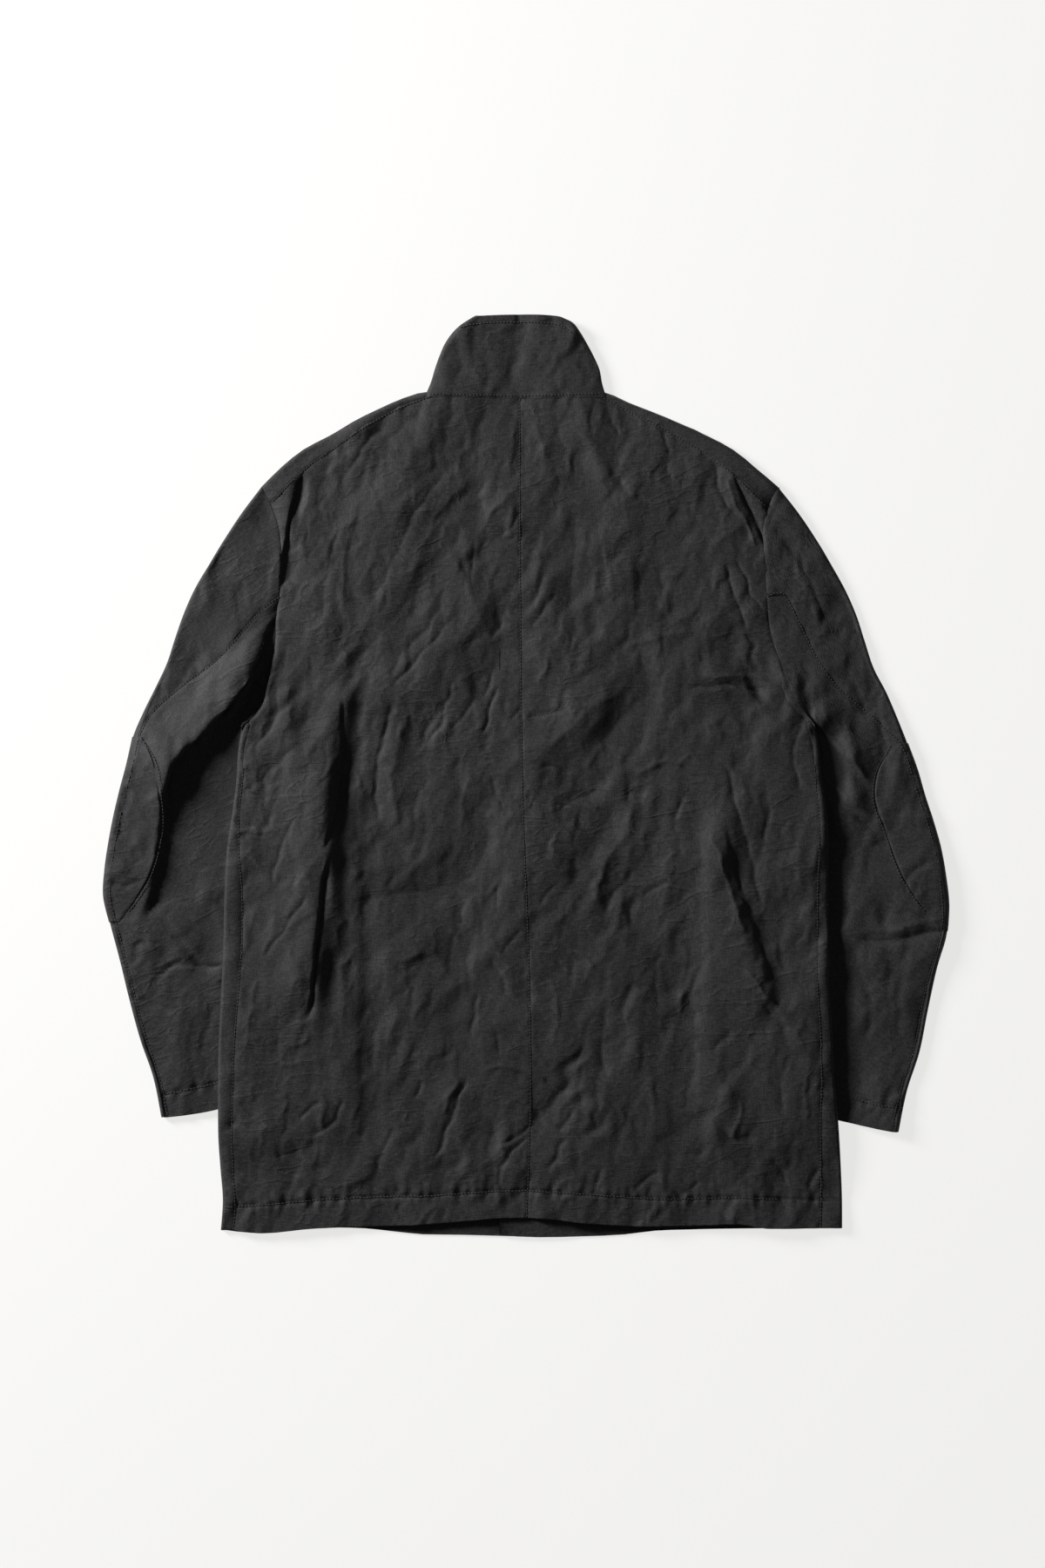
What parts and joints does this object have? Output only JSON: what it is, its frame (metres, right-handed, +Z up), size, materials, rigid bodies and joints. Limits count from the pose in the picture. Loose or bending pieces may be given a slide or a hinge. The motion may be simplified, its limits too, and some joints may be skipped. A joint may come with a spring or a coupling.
{
  "type": "hunting jacket",
  "caption": "Long cloth jacket with a stand collar and elbow patches, laid flat with its back upwards and its sleeves tucked under the body",
  "frame": {"origin": "middle of the laid jacket's outline, on the surface it lies on", "axes": "+Y runs from the hem to the collar, +X to the right as seen from above, +Z up from the surface"},
  "size_m": [0.8274, 0.8991, 0.0204],
  "materials": {
    "back_left": "washed charcoal twill, matt with a slight sheen",
    "back_right": "washed charcoal twill, matt with a slight sheen",
    "front_left": "washed charcoal twill, matt with a slight sheen",
    "front_right": "washed charcoal twill, matt with a slight sheen",
    "top_sleeve_left": "washed charcoal twill, matt with a slight sheen",
    "top_sleeve_right": "washed charcoal twill, matt with a slight sheen",
    "under_sleeve_left": "washed charcoal twill, matt with a slight sheen",
    "under_sleeve_right": "washed charcoal twill, matt with a slight sheen",
    "elbow_patch_left": "washed charcoal twill, matt with a slight sheen",
    "elbow_patch_right": "washed charcoal twill, matt with a slight sheen",
    "collar": "washed charcoal twill, matt with a slight sheen"
  },
  "bodies": {
    "root": {"back_left": "back_left", "back_right": "back_right", "front_left": "front_left", "front_right": "front_right", "top_sleeve_left": "top_sleeve_left", "top_sleeve_right": "top_sleeve_right", "under_sleeve_left": "under_sleeve_left", "under_sleeve_right": "under_sleeve_right", "elbow_patch_left": "elbow_patch_left", "elbow_patch_right": "elbow_patch_right", "collar": "collar"}
  },
  "joints": []
}
